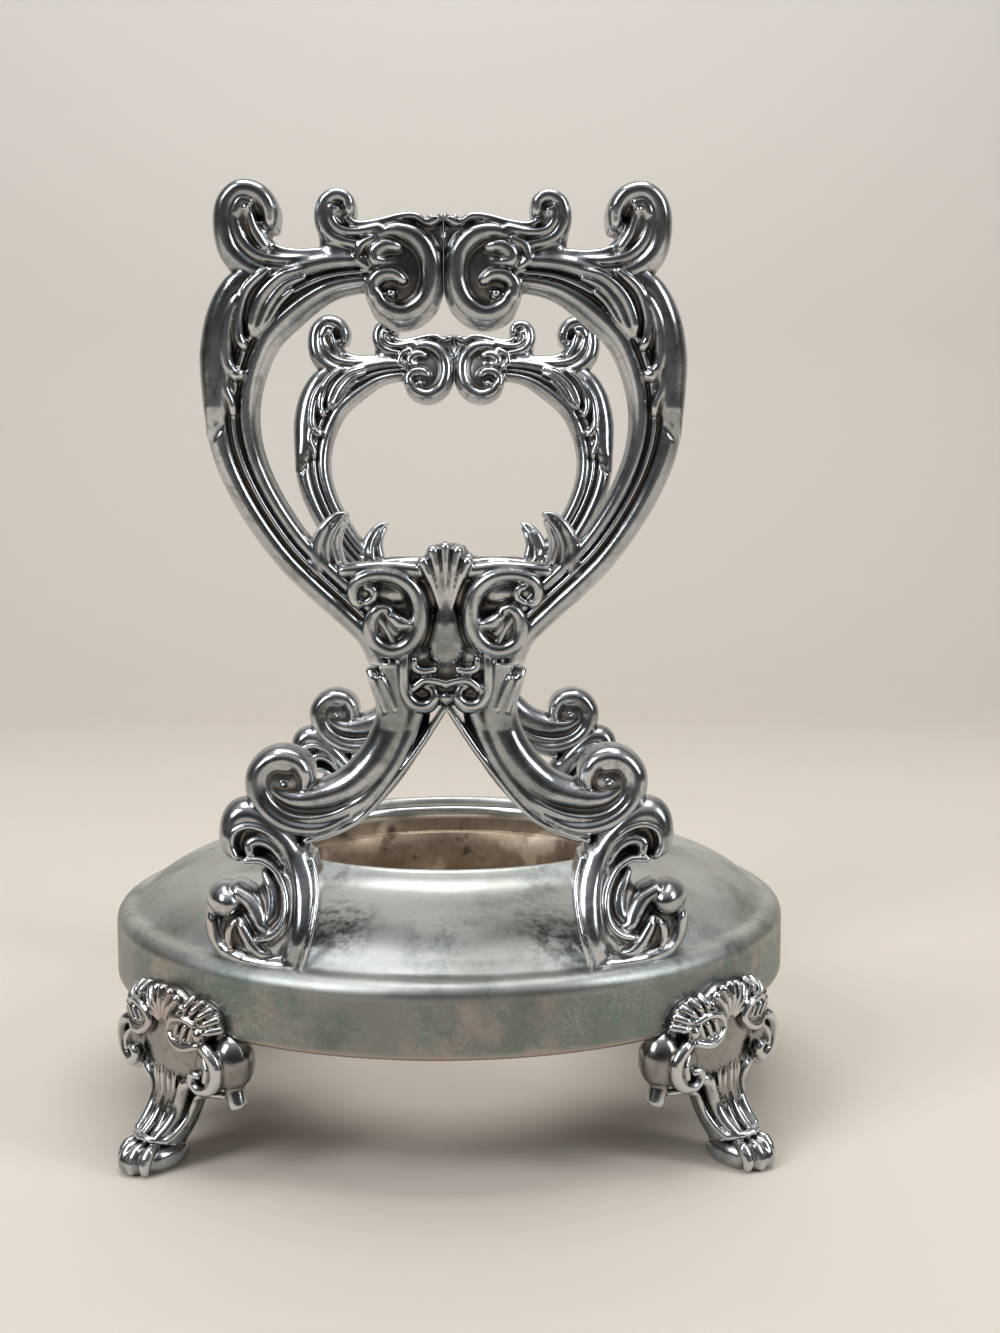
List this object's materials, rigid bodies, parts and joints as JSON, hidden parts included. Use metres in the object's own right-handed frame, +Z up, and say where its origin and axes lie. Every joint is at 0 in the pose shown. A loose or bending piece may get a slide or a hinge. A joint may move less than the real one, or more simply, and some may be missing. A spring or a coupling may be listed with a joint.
{
  "type": "vessel stand with burner well",
  "caption": "Footed round stand with a burner well and leaning scroll frames that carry a vessel between them.",
  "frame": {"origin": "on the surface that the paws stand on, under the centre of the base", "axes": "+Z up, front frame towards -Y, +X to the right seen from the front"},
  "size_m": [0.168, 0.1712, 0.2035],
  "materials": {
    "base": "worn satin silver plate, mottled grey and green-brown tarnish",
    "liner": "brown tarnished plate, bright lip",
    "frames": "polished cast silver plate, dark in the recesses",
    "feet": "polished cast silver plate, dark in the recesses"
  },
  "bodies": {
    "root": {"base_shell": "base", "burner_ring": "liner", "front_yoke_right": "frames", "front_yoke_left": "frames", "front_arm_right": "frames", "front_arm_left": "frames", "front_scroll_right": "frames", "front_scroll_left": "frames", "front_cartouche": "frames", "rear_yoke_right": "frames", "rear_yoke_left": "frames", "rear_arm_right": "frames", "rear_arm_left": "frames", "rear_scroll_right": "frames", "rear_scroll_left": "frames", "rear_cartouche": "frames", "paw_foot_front_right": "feet", "paw_foot_front_left": "feet", "paw_foot_rear_right": "feet", "paw_foot_rear_left": "feet"}
  },
  "joints": []
}
